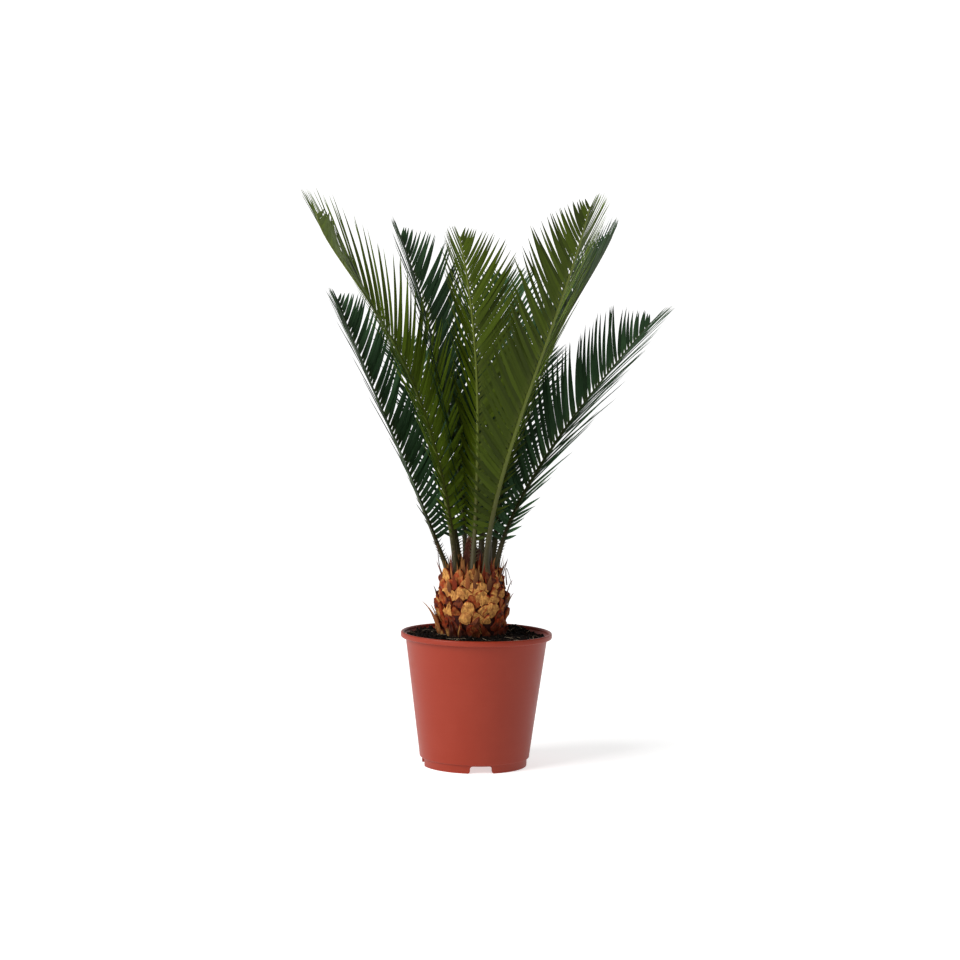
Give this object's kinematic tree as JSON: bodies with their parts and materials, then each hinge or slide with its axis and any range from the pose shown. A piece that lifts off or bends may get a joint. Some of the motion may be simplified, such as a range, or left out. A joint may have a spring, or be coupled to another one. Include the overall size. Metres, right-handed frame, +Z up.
{
  "type": "potted sago palm",
  "caption": "Young cycad with a barrel-shaped scaly stem and a crown of stiff feather fronds, standing in a round tapered nursery pot filled with soil.",
  "frame": {"origin": "middle of the pot, level with the surface that its foot ring stands on; the flat underside of the dimple in the floor's middle is 0.6 mm above it", "axes": "+Z up along the pot's axis, -Y towards the front of the plant as pictured, +X to its right"},
  "size_m": [0.4172, 0.4621, 0.6408],
  "materials": {
    "pot": "satin",
    "soil": "matte",
    "caudex": "matte",
    "bud": "matte",
    "frond_light": "satin",
    "frond_dark": "satin"
  },
  "bodies": {
    "root": {"pot": "pot", "soil": "soil", "caudex": "caudex", "crown_bud": "bud", "frond_front_left": "frond_light", "frond_front_centre": "frond_light", "frond_front_right": "frond_light", "frond_right": "frond_dark", "frond_left": "frond_dark", "frond_back_left": "frond_dark", "frond_back_right": "frond_dark", "frond_back_centre": "frond_dark", "frond_low_back_left": "frond_dark", "frond_low_back_right": "frond_dark"}
  },
  "joints": []
}
